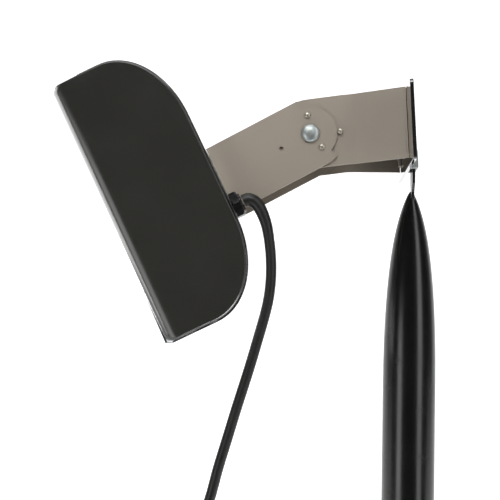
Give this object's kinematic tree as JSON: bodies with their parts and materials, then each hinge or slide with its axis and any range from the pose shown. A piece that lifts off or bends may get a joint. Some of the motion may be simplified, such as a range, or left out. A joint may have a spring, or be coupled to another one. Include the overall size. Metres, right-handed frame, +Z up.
{
  "type": "picture light",
  "caption": "Exhibition picture light: a tilting D-shaped flood head on a sheet-metal arm, hooked on the blade of a pointed round post, with its mains cord.",
  "frame": {"origin": "centre of the flat lower end of the post's top section", "axes": "+Z up the post, +X from the head to the post, +Y across the light, away from the side that the cord leaves"},
  "size_m": [0.2779, 0.128, 0.4853],
  "materials": {
    "satin_metal": "satin, warm grey",
    "black_paint": "semi-gloss powder coat",
    "black_cover": "smooth satin-gloss",
    "bright_sheet": "bright rolled",
    "dark_frame": "satin",
    "glass": "clear",
    "zinc": "bright zinc plate",
    "steel": "plain",
    "brass": "nickelled",
    "rubber": "matt",
    "black_plastic": "fine texture",
    "strap": "woven",
    "silicone": "white, satin",
    "ceramic": "matt white"
  },
  "bodies": {
    "post_and_rear_arm": {"post_tip": "black_paint", "post_tube": "black_paint", "post_end_plug": "black_paint", "post_blade": "black_paint", "wall_flange": "black_paint", "flange_rivet_1": "zinc", "flange_rivet_2": "zinc", "flange_rivet_3": "zinc", "flange_rivet_4": "zinc", "hook_pocket": "zinc", "rear_arm": "satin_metal", "pivot_bolt": "zinc", "elbow_spacer": "steel", "pivot_washer": "zinc", "spring_washer": "steel", "pivot_nut": "zinc", "mains_cord": "rubber", "cord_coil": "rubber", "upper_coil_tie": "strap", "lower_coil_tie": "strap", "cord_tail": "rubber", "plug_body": "black_plastic", "left_plug_pin": "brass", "right_plug_pin": "brass"},
    "lamp_head": {"front_arm": "satin_metal", "near_side_cover": "black_cover", "far_side_cover": "black_cover", "housing": "bright_sheet", "arm_backing_plate": "steel", "foot_rivet_1": "zinc", "foot_rivet_2": "zinc", "foot_rivet_3": "zinc", "foot_rivet_4": "zinc", "reflector": "bright_sheet", "upper_lamp_holder": "ceramic", "lower_lamp_holder": "ceramic", "halogen_lamp": "glass", "lamp_bracket": "steel", "terminal_block": "ceramic", "earth_screw": "zinc", "gland_body": "black_plastic", "gland_locknut": "black_plastic", "strain_relief": "rubber"},
    "glass_door": {"door_frame": "dark_frame", "front_glass": "glass", "glass_seal": "rubber", "door_gasket": "silicone", "door_screw": "zinc", "near_hinge_pin": "zinc", "far_hinge_pin": "zinc"}
  },
  "joints": [
    {"name": "elbow_tilt", "type": "hinge", "parent": "post_and_rear_arm", "child": "lamp_head", "pos_m": [-0.074, 0, 0.2896], "axis": [0, 1, 0], "range_deg": [-38, 100], "deforming": ["mains_cord"]},
    {"name": "glass_door_hinge", "type": "hinge", "parent": "lamp_head", "child": "glass_door", "pos_m": [-0.24141, 0, 0.31809], "axis": [0, 1, 0], "range_deg": [0, 90]}
  ]
}
